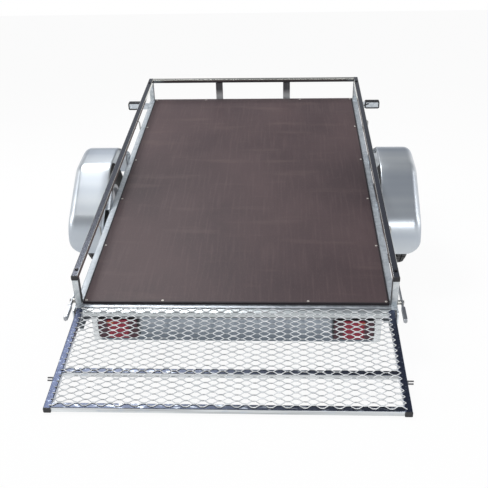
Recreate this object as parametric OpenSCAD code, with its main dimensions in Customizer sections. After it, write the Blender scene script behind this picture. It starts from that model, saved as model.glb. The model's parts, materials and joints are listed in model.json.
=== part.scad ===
// Small tipping trailer: a flat plywood bed on a galvanised frame, tipped back on its axle.
// The bed is drawn in its own frame, with the deck's top at z = 0 and its rear edge at y = 0,
// and is then laid down so that wheels, rear panel, ramp and coupling all stand on z = 0.

/* [Deck] */
// Length of the plywood deck
deck_l = 2030; // [1700:10:2400]
// Width of the plywood deck
deck_w = 1160; // [1000:10:1300]
// Thickness of the plywood deck, which lies on the beams' flanges
deck_t = 9; // [9:1:15]

/* [Frame] */
// Height of the side beams
side_beam_h = 100; // [90:5:120]
// Width of the beams' flanges
flange_w = 60; // [55:1:66]
// How much of a side beam's flange shows beside the deck
side_edge = 30; // [28:1:36]
// How much of an end beam's flange shows beyond the deck
end_edge = 28; // [26:1:32]
// Wall of the folded beams
beam_wall = 3; // [2:0.5:4]
// Height of the rear beam
rear_beam_h = 45; // [40:5:60]
// Bend radius of the folded beams
beam_round = 5; // [4:0.5:8]
// Number of cross members under the deck
cross_n = 4; // [3:1:5]
// Width of a cross member
cross_w = 60; // [40:5:80]
// Height of a cross member
cross_h = 40; // [30:5:50]

/* [Rails] */
// Width of the rail and post tube
rail_w = 25; // [22:1:28]
// Height of the rail tube
rail_h = 20; // [18:1:25]
// Height of the rails' undersides above the deck
post_h = 100; // [80:5:160]
// Wall of the rail tube
rail_wall = 2; // [1.5:0.5:3]
// Width of the flat uprights under the front rail
upright_w = 40; // [30:1:50]
// Thickness of the flat uprights
upright_t = 5; // [4:1:8]
// Spacing of the flat uprights
upright_gap = 394; // [300:2:500]

/* [Rear panel and lamps] */
// Distance of the lamp panel's ends from the frame's sides
panel_in = 55; // [45:1:100]
// Height of the rear lamp panel below the rear beam
panel_h = 126; // [118:1:150]
// Wall of the rear lamp panel
panel_wall = 2; // [1.5:0.5:3]
// Depth of the panel's folded edges
panel_fold = 20; // [12:1:30]
// How far the panel stands back from the deck's rear edge
panel_back = 5; // [3:1:8]
// Width of a tail lamp
lamp_w = 158; // [140:1:170]
// Height of a tail lamp
lamp_h = 94; // [80:1:110]
// Distance of a tail lamp's middle from the panel's end
lamp_in = 106; // [90:1:150]
// Depth of a tail lamp's housing
lamp_d = 18; // [12:1:22]
// Depth of a tail lamp's lens
lens_d = 8; // [5:1:12]
// Width of the black rim round a lens
lens_rim = 4; // [3:0.5:6]
// Width of the grooves between a lens's fields
lens_groove = 2; // [1:0.5:3]
// Reach of the front position lamps from the side beam
marker_reach = 126; // [110:1:150]
// Height of a front position lamp
marker_h = 44; // [36:1:50]
// Width of a front position lamp
marker_w = 84; // [70:1:90]

/* [Axle and wheels] */
// Radius of the tyres
tyre_r = 250; // [240:1:258]
// Width of the tyres
tyre_w = 140; // [125:1:146]
// Radius of the rim's bead seat
rim_r = 127; // [120:1:135]
// Distance of the wheels behind the deck's middle
axle_back = 15; // [0:5:60]
// Depth of the wheel centres below the deck's top
axle_drop = 180; // [175:1:190]
// Distance of a wheel's middle inside the fender's middle
wheel_in = 4; // [2:1:6]
// Outer size of the square axle tube
axle_tube = 60; // [50:5:60]
// Length of the swing arms along the bed
arm_l = 110; // [105:5:120]
// Radius of the stub axles
stub_r = 14; // [12:0.5:16]
// Radius of the circle that the wheel bolts stand on
bolt_circle = 50; // [47:0.5:54]

/* [Fenders] */
// Width of a fender
fender_w = 170; // [166:1:180]
// Gap between a fender and the side beam
fender_gap = 15; // [12:1:18]
// Sheet thickness of a fender
fender_t = 3; // [2:0.5:4]
// Height of a fender's flat top above the deck
fender_top = 127; // [115:1:140]
// Length of a fender's flat top
fender_flat = 200; // [160:5:240]
// Length of a fender's sloping part
fender_slope = 323; // [300:1:340]
// Angle of the sloping part
slope_angle = 29.3; // [26:0.1:32]
// Length of a fender's hanging end
fender_drop = 132; // [100:1:150]
// Angle of the hanging end
drop_angle = 77.8; // [70:0.1:84]
// Radius of the rounded outer shoulder
shoulder_r = 28; // [20:1:34]
// Depth of the outer skirt
skirt_d = 45; // [38:1:50]
// Radius of the round lower corners
corner_r = 55; // [30:1:60]
// Radius of the turned-down inner edge
lip_r = 7; // [5:0.5:10]

/* [Ramp] */
// Length of the ramp from its hinge to its end
ramp_l = 505; // [460:5:560]
// Distance of the ramp's sides inside the frame's sides
ramp_in = 15; // [12:1:25]
// Distance of the hinge behind the deck's rear edge
hinge_back = 50; // [48:1:56]
// Depth of the hinge below the deck's top
hinge_drop = 12; // [10:1:16]
// Distance from the hinge to the middle tube
ramp_mid = 327; // [280:1:360]
// Long way of the mesh's diamonds
mesh_x = 55; // [45:1:65]
// Short way of the mesh's diamonds
mesh_y = 28; // [22:1:34]
// Length of the joints between the mesh's diamonds
bond_l = 12; // [8:1:16]
// Width of the mesh's strands
strand_w = 3.5; // [2.5:0.5:5]
// Thickness of the mesh
mesh_t = 3; // [2:0.5:4]

/* [Drawbar] */
// Outer size of the square drawbar tube
bar_size = 60; // [50:5:60]
// Wall of the drawbar tube
bar_wall = 3; // [2:0.5:4]
// Distance from the drawbar's pivot to the coupling's ball
bar_reach = 1950; // [1800:10:2100]
// Depth of the ball's centre below the drawbar's axis
ball_drop = 22; // [20:1:30]
// Radius of the pivot pin
pivot_r = 10; // [8:0.5:12]
// Radius of the locking holes
lock_r = 8.5; // [6:0.5:10]
// Radius of the coupling's head
head_r = 38; // [34:1:42]
// Radius of the coupling's socket
socket_r = 25.5; // [25:0.1:26]
// Height of the ball's centre above the head's rim
head_cut = 12; // [8:1:16]
// Length of the coupling's sleeve over the drawbar
sleeve_l = 110; // [90:5:130]
// Distance from the sleeve to the ball
neck_l = 80; // [70:5:110]
// Length of the coupling's handle
handle_l = 130; // [110:5:150]

/* [Latches] */
// Length of a latch's long arm
latch_long = 118; // [100:1:130]
// Length of a latch's short arm
latch_short = 120; // [60:1:125]
// Thickness of a latch's lever
latch_t = 5; // [4:0.5:6]
// Thickness of a latch's grip
grip_t = 12; // [10:0.5:14]
// Length of a latch's grip
grip_l = 85; // [60:1:90]
// Radius of a latch's bolt
latch_r = 5; // [4:0.5:6]

/* [Hidden] */
$fn = 64;
clear_gap = 6;          // air between pieces that move past each other
fit_gap = 0.3;          // air round pins and shafts
row_gap = 0.2;          // air between the mesh's rows
beam_x = deck_w/2 + side_edge;
frame_top = -deck_t;
cross_pitch = deck_l/(cross_n + 1);
plug_t = 3;
axle_y = deck_l/2 - axle_back;
fender_x = beam_x + fender_gap;
wheel_x = fender_x + fender_w/2 - wheel_in;
ramp_w = 2*(beam_x - ramp_in);
panel_x = beam_x - panel_in;
lamp_x = panel_x - lamp_in;

// Where the bed stands: its wheels and the panel's lower edge are both on the ground
foot_y = -panel_back;
foot_z = frame_top - rear_beam_h - panel_h;
foot_d = norm([axle_y - foot_y, -axle_drop - foot_z]);
tilt = asin(tyre_r/foot_d) - atan((-axle_drop - foot_z)/(axle_y - foot_y));
bed_z = -foot_y*sin(tilt) - foot_z*cos(tilt);
function bed_y_of(y, z) = y*cos(tilt) - z*sin(tilt);
function bed_z_of(y, z) = bed_z + y*sin(tilt) + z*cos(tilt);

// Where the ramp lies: the lower edge of its end plugs is on the ground
hinge_wy = bed_y_of(-hinge_back, -hinge_drop);
hinge_wz = bed_z_of(-hinge_back, -hinge_drop);
ramp_end = ramp_l + plug_t;
ramp_slope = asin(hinge_wz/norm([ramp_end, rail_h/2])) - atan(rail_h/2/ramp_end);
ramp_back_y = hinge_wy - ramp_end*cos(ramp_slope) - rail_h/2*sin(ramp_slope);

// Where the drawbar lies: its pivot hangs from a cross member, its coupling is on the ground
pivot_y = 3*cross_pitch;
pivot_drop = deck_t + side_beam_h + clear_gap + bar_size/2;
pivot_wy = bed_y_of(pivot_y, -pivot_drop);
pivot_wz = bed_z_of(pivot_y, -pivot_drop);
rim_y = bar_reach + sqrt(head_r*head_r - head_cut*head_cut);
rim_z = ball_drop + head_cut;
bar_slope = asin(pivot_wz/norm([rim_y, rim_z])) - atan(rim_z/rim_y);
bar_front_y = pivot_wy + bar_reach*cos(bar_slope) - ball_drop*sin(bar_slope) + head_r;

// The origin is under the middle of the whole object
shift_y = -(ramp_back_y + bar_front_y)/2;

galvanised = "lightsteelblue";
bright = "gainsboro";
black = [0.08, 0.08, 0.09];

module on_bed() translate([0, shift_y, bed_z]) rotate([tilt, 0, 0]) children();
module on_ramp() translate([0, shift_y + hinge_wy, hinge_wz]) rotate([ramp_slope, 0, 0]) children();
module on_drawbar() translate([0, shift_y + pivot_wy, pivot_wz]) rotate([-bar_slope, 0, 0]) children();
module left_side() mirror([1, 0, 0]) children();
module both_sides() {
    children();
    left_side() children();
}

// A flat shape drawn as (y, z), made a plate that starts at x
module side_plate(x, thick) translate([x, 0, 0]) rotate([90, 0, 90]) linear_extrude(thick) children();

// A rectangle with round corners, from its lower left corner
module round_rect(w, h, r) {
    translate([r, 0]) square([w - 2*r, h]);
    translate([0, r]) square([w, h - 2*r]);
    for (x = [r, w - r], y = [r, h - r]) translate([x, y]) circle(r);
}

// The cut of a rectangular tube
module tube_cut(w, h, wall) difference() {
    round_rect(w, h, wall*1.5);
    translate([wall, wall]) square([w - 2*wall, h - 2*wall]);
}

// The cut of a beam folded to a C, open towards x = 0
module channel_cut(w, h, wall) difference() {
    round_rect(w, h, beam_round);
    translate([-1, wall]) square([w + 1 - wall, h - 2*wall]);
    translate([-1, -1]) square([1 + beam_round, 1 + beam_round]);
    translate([-1, h - beam_round]) square([1 + beam_round, 1 + beam_round]);
}
module channel_flanges(w, h, wall) {
    square([w/2, wall]);
    translate([0, h - wall]) square([w/2, wall]);
}
module channel(w, h, wall) {
    channel_cut(w, h, wall);
    channel_flanges(w, h, wall);
}

module deck() color([0.36, 0.3, 0.29]) on_bed()
    translate([-deck_w/2, 0, -deck_t]) cube([deck_w, deck_l, deck_t]);

// The front beam runs right across. The rear beam stands between the side beams' ends, whose
// flanges are cut back for it.
end_lap = flange_w - end_edge;
module side_beam() color(galvanised) on_bed() difference() {
    translate([beam_x - flange_w, deck_l - end_lap, frame_top - side_beam_h]) rotate([90, 0, 0])
        linear_extrude(deck_l - end_lap + end_edge) channel(flange_w, side_beam_h, beam_wall);
    translate([0, -end_edge - 1, frame_top - side_beam_h - 1])
        cube([beam_x - rail_w, flange_w + 1, side_beam_h + 2]);
}

module end_beam(h, half_l) translate([0, -end_lap, frame_top - h]) rotate([90, 0, 90])
    linear_extrude(2*half_l, center = true) channel(flange_w, h, beam_wall);

module front_beam() color(galvanised) on_bed() translate([0, deck_l, 0]) end_beam(side_beam_h, beam_x);

seam = 2;
module rear_beam() color(galvanised) on_bed() mirror([0, 1, 0])
    end_beam(rear_beam_h, beam_x - rail_w - seam);

// Cross members are folded like a hat, with their ends under the side beams' flanges
module cross_members() color(galvanised) on_bed() for (i = [1:cross_n])
    translate([0, i*cross_pitch - cross_w/2, frame_top - cross_h]) difference() {
        rotate([90, 0, 90]) linear_extrude(2*(beam_x - beam_wall), center = true) difference() {
            square([cross_w, cross_h]);
            translate([beam_wall, -beam_wall]) square([cross_w - 2*beam_wall, cross_h]);
        }
        both_sides() translate([beam_x - flange_w, -1, cross_h - beam_wall])
            cube([flange_w, cross_w + 2, 2*beam_wall]);
    }

module corner_posts() color(galvanised) on_bed() both_sides()
    for (y = [0, deck_l]) translate([beam_x - rail_w, y, frame_top]) linear_extrude(post_h - frame_top)
    tube_cut(rail_w, rail_w, rail_wall);

module side_rail() color(bright) on_bed()
    translate([beam_x - rail_w, deck_l + rail_w, post_h]) rotate([90, 0, 0])
    linear_extrude(deck_l + rail_w) tube_cut(rail_w, rail_h, rail_wall);

module front_rail() color(bright) on_bed()
    translate([0, deck_l, post_h]) rotate([90, 0, 90])
    linear_extrude(2*(beam_x - rail_w), center = true) tube_cut(rail_w, rail_h, rail_wall);

module front_uprights() color(bright) on_bed() for (side = [-1, 1])
    translate([side*upright_gap/2 - upright_w/2, deck_l + rail_w/2 - upright_t/2, frame_top])
    cube([upright_w, upright_t, post_h - frame_top]);

// A black plastic plug whose shank goes into the end of a tube; the tube runs towards +y
plug_l = 12;
module tube_plug() {
    rotate([90, 0, 0]) linear_extrude(plug_t) round_rect(rail_w, rail_h, 3);
    translate([rail_wall + fit_gap, 0, rail_wall + fit_gap])
        cube([rail_w - 2*(rail_wall + fit_gap), plug_l, rail_h - 2*(rail_wall + fit_gap)]);
}

module rail_plugs() color(black) on_bed() both_sides()
    translate([beam_x - rail_w, 0, post_h]) tube_plug();

// Bent wire hooks, each on a small plate on the side beam's outer face
hook_r = 3;
hook_out = 26;
hook_low = frame_top - 40;
hook_high = frame_top + 24;
hook_plate_w = 20;
hook_plate_h = 25;
module rope_hooks() color(bright) on_bed() both_sides()
    for (y = [0.255*deck_l, 0.81*deck_l]) translate([beam_x + hook_r, y, 0]) {
        translate([0, 0, hook_low]) cylinder(r = hook_r, h = hook_high - hook_low);
        translate([hook_out/2, 0, hook_high]) rotate([90, 0, 0])
            rotate_extrude(angle = 180) translate([hook_out/2, 0]) circle(hook_r);
        translate([hook_out, 0, (hook_low + hook_high)/2])
            cylinder(r = hook_r, h = (hook_high - hook_low)/2);
        translate([-hook_r, -hook_plate_w/2, hook_low]) cube([hook_r, hook_plate_w, hook_plate_h]);
    }

module lamp_panel() color(galvanised) on_bed() {
    translate([-panel_x, foot_y, foot_z]) cube([2*panel_x, panel_wall, panel_h]);
    for (z = [foot_z, frame_top - rear_beam_h - panel_wall]) translate([-panel_x, foot_y, z])
        cube([2*panel_x, panel_fold, panel_wall]);
    for (x = [-panel_x, panel_x - panel_wall]) translate([x, foot_y, foot_z])
        cube([panel_wall, panel_fold, panel_h]);
}

// A tail lamp: a black base, and a lens whose grooves part it into three fields
lamp_gap = 4;
lamp_z = frame_top - rear_beam_h - lamp_gap - lamp_h/2;
lamp_round = 10;
module lamp_block(w, h, d, r) rotate([90, 0, 0]) linear_extrude(d)
    translate([-w/2, -h/2]) round_rect(w, h, r);
module tail_lamp() color(black) on_bed() translate([lamp_x, foot_y, lamp_z]) {
    lamp_block(lamp_w, lamp_h, lamp_d, lamp_round);
    translate([0, -lamp_d, 0]) difference() {
        lamp_block(lamp_w, lamp_h, lens_d/2, lamp_round);
        translate([0, 1, 0])
            lamp_block(lamp_w - 2*lens_rim, lamp_h - 2*lens_rim, lens_d, lamp_round - lens_rim);
    }
}
lens_w = lamp_w - 2*(lens_rim + fit_gap);
lens_h = lamp_h - 2*(lens_rim + fit_gap);
module tail_lens() color("firebrick") on_bed() translate([lamp_x, foot_y - lamp_d, lamp_z]) difference() {
    lamp_block(lens_w, lens_h, lens_d, lamp_round - lens_rim);
    for (x = [-lens_w/4, lens_w/4]) translate([x - lens_groove/2, -lens_d - 1, -lens_h/2 - 1])
        cube([lens_groove, 1 + lens_groove, lens_h + 2]);
}

// Position lamps at the front corners, on plates bolted to the side beams
marker_y = deck_l - 30;
marker_edge = 3;
marker_d = 22;
marker_lens_d = 10;
plate_t = 3;
foot_l = 30;
marker_x = beam_x + marker_reach + marker_edge - marker_w/2;
marker_z = frame_top - marker_h/2;
module marker_brackets() color(galvanised) on_bed() both_sides() {
    translate([beam_x, marker_y, marker_z - marker_h/2 + marker_edge])
        cube([marker_reach, plate_t, marker_h - 2*marker_edge]);
    translate([beam_x, marker_y, marker_z - marker_h/2 + marker_edge])
        cube([plate_t, foot_l, marker_h - 2*marker_edge]);
}
module marker_lamps() color(black) on_bed() both_sides()
    translate([marker_x, marker_y + plate_t + marker_d, marker_z])
    lamp_block(marker_w, marker_h, marker_d, 8);
module marker_lenses() color("white") on_bed() both_sides()
    translate([marker_x, marker_y + plate_t + marker_d + marker_lens_d, marker_z])
    lamp_block(marker_w - 2*lens_rim, marker_h - 2*lens_rim, marker_lens_d, 6);

// A square tube across the bed, under the side beams, with swing arms at its ends
axle_wall = 4;
tube_y = axle_y + arm_l;
tube_z = frame_top - side_beam_h - axle_tube/2;
arm_t = 20;
arm_gap = 4;
arm_x = wheel_x - tyre_w/2 - clear_gap - arm_t - arm_gap;
module axle_beam() color(galvanised) on_bed()
    translate([0, tube_y - axle_tube/2, tube_z - axle_tube/2]) rotate([90, 0, 90])
    linear_extrude(2*arm_x, center = true) tube_cut(axle_tube, axle_tube, axle_wall);

arm_tilt = atan((tube_z + axle_drop)/arm_l);
module swing_arm() {
    side_plate(arm_x, arm_t) {
        translate([tube_y, tube_z]) circle(axle_tube/2 - 1);
        translate([axle_y, -axle_drop]) circle(stub_r*2);
        translate([axle_y, -axle_drop]) rotate(arm_tilt) translate([0, -stub_r*1.8])
            square([norm([arm_l, tube_z + axle_drop]), stub_r*3.6]);
    }
    translate([arm_x + arm_t, axle_y, -axle_drop]) rotate([0, 90, 0])
        cylinder(r = stub_r, h = wheel_x - arm_x - arm_t + 20);
}
module swing_arms() color(galvanised) on_bed() both_sides() swing_arm();

// The fender is one section, with a turned-down inner edge, a round shoulder and a skirt. It is
// swept over five flats and four bends, and its ends draw in to round the lower outer corners.
bend_r = 60;
bend_n = 7;
arc_n = 7;
corner_n = 5;
corner_turn = 70;
cut_1 = bend_r*tan(slope_angle/2);
cut_2 = bend_r*tan((drop_angle - slope_angle)/2);
function arc(x, z, r, a1, a2) = [for (i = [0:arc_n]) let (a = a1 + (a2 - a1)*i/arc_n)
    [x + r*sin(a), z + r*cos(a)]];
function backwards(list) = [for (i = [len(list) - 1:-1:0]) list[i]];
shoulder_x = fender_w - shoulder_r;
fender_cut = concat(
    [[0, -2*lip_r]], arc(lip_r, -lip_r, lip_r, -90, 0), arc(shoulder_x, -shoulder_r, shoulder_r, 0, 90),
    [[fender_w, -skirt_d], [fender_w - fender_t, -skirt_d]],
    arc(shoulder_x, -shoulder_r, shoulder_r - fender_t, 90, 0), arc(lip_r, -lip_r, lip_r - fender_t, 0, -90),
    [[fender_t, -2*lip_r]]);
function outward(a) = [-sin(a), cos(a)];
function along(a) = [-cos(a), -sin(a)];
function bend(start, a1, a2) = [for (i = [0:bend_n]) let (a = a1 + (a2 - a1)*i/bend_n)
    [start + bend_r*(outward(a) - outward(a1)), a, 0]];
function end_of(rings) = rings[len(rings) - 1][0];
bend_1 = bend(along(0)*(fender_flat/2 - cut_1), 0, slope_angle);
bend_2 = bend(end_of(bend_1) + along(slope_angle)*(fender_slope - cut_1 - cut_2), slope_angle, drop_angle);
corner = [for (i = [0:corner_n]) let (a = corner_turn*i/corner_n)
    [end_of(bend_2) + along(drop_angle)*(fender_drop - cut_2 + corner_r*(sin(a) - sin(corner_turn))),
        drop_angle, corner_r*(1 - cos(a))]];
half_rings = concat(bend_1, bend_2, corner);
fender_rings = concat([for (r = backwards(half_rings)) [[-r[0][0], r[0][1]], -r[1], r[2]]], half_rings);
module fender() {
    n = len(fender_cut);
    last = (len(fender_rings) - 1)*n;
    color(bright) on_bed() translate([fender_x, axle_y, fender_top]) polyhedron(
        [for (r = fender_rings, c = fender_cut) let (p = r[0] + c[1]*outward(r[1]))
            [c[0] < shoulder_x - 1 ? c[0] : c[0] - r[2], p[0], p[1]]],
        concat([[for (k = [n - 1:-1:0]) k]], [[for (k = [0:n - 1]) last + k]],
            [for (i = [0:n:last - n], k = [0:n - 1])
                [i + k, i + (k + 1)%n, i + n + (k + 1)%n, i + n + k]]));
}

// Bent plates that carry the fenders' slopes from the side beams
stay_t = 4;
stay_w = 90;
stay_low = frame_top - side_beam_h + 25;
function slope_z(y) = fender_top - (abs(y - axle_y) - fender_flat/2)*tan(slope_angle)
    - (fender_t + fit_gap)/cos(slope_angle);
module stay(side) {
    mid = axle_y + side*(fender_flat/2 + fender_slope*cos(slope_angle)/2);
    y1 = mid - stay_w/2;
    y2 = mid + stay_w/2;
    lap = stay_t/cos(slope_angle);
    side_plate(fender_x + lip_r, shoulder_x - 2*lip_r)
        polygon([[y1, slope_z(y1) - lap], [y2, slope_z(y2) - lap], [y2, slope_z(y2)], [y1, slope_z(y1)]]);
    drop = 2*lip_r + clear_gap;
    side_plate(beam_x, stay_t)
        polygon([[y1, stay_low], [y2, stay_low], [y2, slope_z(y2) - drop], [y1, slope_z(y1) - drop]]);
    side_plate(beam_x, fender_gap + 2*lip_r) polygon([[y1, slope_z(y1) - drop - stay_t],
        [y2, slope_z(y2) - drop - stay_t], [y2, slope_z(y2) - drop], [y1, slope_z(y1) - drop]]);
    side_plate(fender_x + 2*lip_r - stay_t, stay_t) polygon([[y1, slope_z(y1) - drop - stay_t],
        [y2, slope_z(y2) - drop - stay_t], [y2, slope_z(y2)], [y1, slope_z(y1)]]);
}
module fender_stays() color(galvanised) on_bed() both_sides() {
    stay(-1);
    stay(1);
}

// The drawbar's pivot hangs between two ears under a cross member, on a bolt with a nut
ear_x = bar_size/2 + clear_gap;
ear_t = 6;
nut_h = 8;
module bracket_ear(y, top, low, w) side_plate(ear_x, ear_t) {
    translate([y - w/2, low]) square([w, top - low]);
    translate([y, low]) circle(w/2);
}
module drawbar_bracket() color(galvanised) on_bed() {
    both_sides() bracket_ear(pivot_y, frame_top - cross_h, -pivot_drop, cross_w);
    translate([-ear_x, pivot_y - cross_w/2, frame_top - cross_h - ear_t])
        cube([2*ear_x, cross_w, ear_t]);
    translate([-ear_x - ear_t - nut_h, pivot_y, -pivot_drop]) rotate([0, 90, 0]) {
        cylinder(r = pivot_r, h = 2*(ear_x + ear_t + nut_h));
        for (x = [0, 2*(ear_x + ear_t) + nut_h]) translate([0, 0, x])
            cylinder(r = 1.7*pivot_r, h = nut_h, $fn = 6);
    }
}

// Two ears under the front beam guide the drawbar and take its locking pin
lock_y = deck_l + end_edge/2;
lock_edge = 6;
module lock_bracket() color(galvanised) on_bed() difference() {
    both_sides() side_plate(ear_x, ear_t) {
        translate([deck_l, -pivot_drop]) square([end_edge, pivot_drop - deck_t - side_beam_h]);
        translate([lock_y, -pivot_drop]) circle(end_edge/2 + lock_edge);
    }
    translate([-2*ear_x, lock_y, -pivot_drop]) rotate([0, 90, 0]) cylinder(r = lock_r, h = 4*ear_x);
}

// Latches: flat levers with a thicker grip, each on a bolt in the side of the frame
latch_y = rail_w + 5;
latch_z = frame_top - 8;
latch_gap = 14;
latch_w = 18;
latch_eye = 11;
bolt_head_h = 5;
latch_x = beam_x + latch_gap + (grip_t - latch_t)/2;
module latch_bolts() color(bright) on_bed() both_sides()
    translate([beam_x, latch_y, latch_z]) rotate([0, 90, 0]) {
        cylinder(r = 1.8*latch_r, h = latch_x - beam_x - fit_gap);
        cylinder(r = latch_r, h = latch_x - beam_x + latch_t + bolt_head_h);
        translate([0, 0, latch_x - beam_x + latch_t + fit_gap])
            cylinder(r = 1.8*latch_r, h = bolt_head_h, $fn = 6);
    }

module latch() color(bright) on_bed() {
    side_plate(latch_x, latch_t) difference() {
        union() {
            translate([latch_y, latch_z]) circle(latch_eye);
            translate([latch_y - latch_long + 1, latch_z - latch_w/2])
                square([latch_long + latch_short - latch_w/2 - 1, latch_w]);
            translate([latch_y + latch_short - latch_w/2, latch_z]) circle(latch_w/2);
        }
        translate([latch_y, latch_z]) circle(latch_r + fit_gap);
    }
    side_plate(beam_x + latch_gap, grip_t) translate([latch_y - latch_long, latch_z - latch_w/2 - 1])
        round_rect(grip_l, latch_w + 2, latch_w/2);
}

// Ears on the side beams' rear ends, outside the ramp, with a bore for each of its pins
hinge_ear_t = 5;
hinge_pin_r = 6;
hinge_ear_r = 12;
hinge_ear_x = beam_x - beam_wall - hinge_ear_t;
ear_low = frame_top - rear_beam_h;
ear_top = frame_top - beam_wall;
ear_lap = 45;
module ramp_ears() color(galvanised) on_bed() both_sides()
    side_plate(hinge_ear_x, hinge_ear_t) difference() {
        union() {
            translate([-hinge_back - hinge_ear_r, ear_low])
                round_rect(hinge_back + hinge_ear_r - end_edge + ear_lap, ear_top - ear_low, hinge_ear_r);
            translate([-hinge_back, ear_top - hinge_ear_r]) square([hinge_back - end_edge, hinge_ear_r*2]);
            translate([-hinge_back, -hinge_drop]) circle(hinge_ear_r);
            translate([-hinge_back - hinge_ear_r, -hinge_drop - hinge_ear_r]) square(hinge_ear_r);
        }
        translate([-hinge_back, -hinge_drop]) circle(hinge_pin_r + fit_gap);
    }

// Wheels: hollow tyre with grooved tread, pressed rim, hub on its stub axle
module at_wheel() on_bed() translate([wheel_x, axle_y, -axle_drop]) rotate([0, 90, 0]) children();
groove_n = 4;
groove_w = 5;
groove_d = 6;
groove_gap = 22;
tyre_wall = 11;
tyre_round = 34;
bead_w = 102;
module tyre() color(black) at_wheel() rotate_extrude($fn = 96) difference() {
    union() {
        translate([rim_r + rim_lip, -tyre_w/2]) round_rect(tyre_r - rim_r - rim_lip, tyre_w, tyre_round);
        translate([rim_r + fit_gap, -bead_w/2]) square([tyre_r - rim_r - 2*tyre_round/2, bead_w]);
    }
    translate([rim_r + 2*tyre_wall, -tyre_w/2 + tyre_wall])
        round_rect(tyre_r - rim_r - 3*tyre_wall, tyre_w - 2*tyre_wall, tyre_round - tyre_wall);
    translate([rim_r - 1, -bead_w/2 + tyre_wall]) square([3*tyre_wall, bead_w - 2*tyre_wall]);
    for (i = [0:groove_n - 1]) translate([tyre_r - groove_d, (i - (groove_n - 1)/2)*groove_gap - groove_w/2])
        square([2*groove_d, groove_w]);
}

// The rim's barrel steps down to a well; its disc is dished and has a ring of hand holes
rim_lip = 13;
rim_t = 3;
well_d = 14;
well_w = 40;
hub_r = 34;
disc_x = 12;
disc_t = 4;
dish = 8;
hole_r = 9;
hole_n = 12;
hole_circle = 92;
barrel = [[rim_r + rim_lip, bead_w/2 + rim_t], [rim_r + rim_lip, bead_w/2], [rim_r, bead_w/2],
    [rim_r, bead_w/2 - 20], [rim_r - well_d, well_w/2], [rim_r - well_d, -well_w/2],
    [rim_r, -bead_w/2 + 20], [rim_r, -bead_w/2], [rim_r + rim_lip, -bead_w/2],
    [rim_r + rim_lip, -bead_w/2 - rim_t]];
barrel_back = [[rim_r - rim_t, -bead_w/2 - rim_t], [rim_r - rim_t, -bead_w/2 + 18],
    [rim_r - well_d - rim_t, -well_w/2 - 2], [rim_r - well_d - rim_t, well_w/2 + 2],
    [rim_r - rim_t, bead_w/2 - 18], [rim_r - rim_t, bead_w/2 + rim_t]];
disc = [[hub_r + fit_gap, disc_x], [bolt_circle + 16, disc_x], [bolt_circle + 26, disc_x + dish],
    [rim_r - well_d - rim_t, disc_x - 6]];
module rim() color(bright) at_wheel() difference() {
    rotate_extrude($fn = 96) {
        polygon(concat(barrel, barrel_back));
        polygon(concat(disc, backwards([for (p = disc) [p[0], p[1] + disc_t]])));
    }
    for (a = [0:360/hole_n:359]) rotate([0, 0, a]) translate([hole_circle, 0, disc_x - dish])
        cylinder(r = hole_r, h = 3*dish + disc_t);
    for (a = [45:90:315]) rotate([0, 0, a]) translate([bolt_circle, 0, disc_x - 1])
        cylinder(r = stud_r + fit_gap, h = disc_t + 2);
}

// The hub: a drum with a flange for the rim, four studs with nuts, and a domed dust cap
flange_t = 8;
stud_r = 6;
nut_r = 9;
nut_t = 10;
hub_back = 40;
hub_front = 36;
cap_r = 24;
module hub() color(galvanised) at_wheel() {
    rotate_extrude() difference() {
        union() {
            translate([0, -hub_back]) square([hub_r, hub_back + hub_front]);
            translate([0, disc_x - flange_t - fit_gap]) square([bolt_circle + 14, flange_t]);
            intersection() {
                translate([0, hub_front - cap_r/2]) circle(cap_r + 4);
                translate([0, hub_front]) square([cap_r, 2*cap_r]);
            }
        }
        translate([0, -hub_back - 1]) square([stub_r + fit_gap, hub_back + 22]);
    }
    for (a = [45:90:315]) rotate([0, 0, a]) translate([bolt_circle, 0, 0]) {
        translate([0, 0, disc_x - flange_t]) cylinder(r = stud_r, h = flange_t + disc_t + nut_t);
        translate([0, 0, disc_x + disc_t + fit_gap]) cylinder(r = nut_r, h = nut_t, $fn = 6);
    }
}

// The drawbar: a square tube, with a bush for its pivot and a cross hole for its locking pin
sleeve_t = 4;
bush_t = 6;
bar_front = bar_reach - neck_l - 10;
bar_tail = 45;
module drawbar() color(galvanised) on_drawbar() difference() {
    union() {
        translate([-bar_size/2, bar_front, -bar_size/2]) rotate([90, 0, 0])
            linear_extrude(bar_front + bar_tail) tube_cut(bar_size, bar_size, bar_wall);
        translate([-bar_size/2 - clear_gap/2, 0, 0]) rotate([0, 90, 0])
            cylinder(r = pivot_r + bush_t, h = bar_size + clear_gap);
    }
    translate([-bar_size, 0, 0]) rotate([0, 90, 0]) cylinder(r = pivot_r + fit_gap, h = 2*bar_size);
    translate([-bar_size, lock_y - pivot_y, 0]) rotate([0, 90, 0]) cylinder(r = lock_r, h = 2*bar_size);
}

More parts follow.
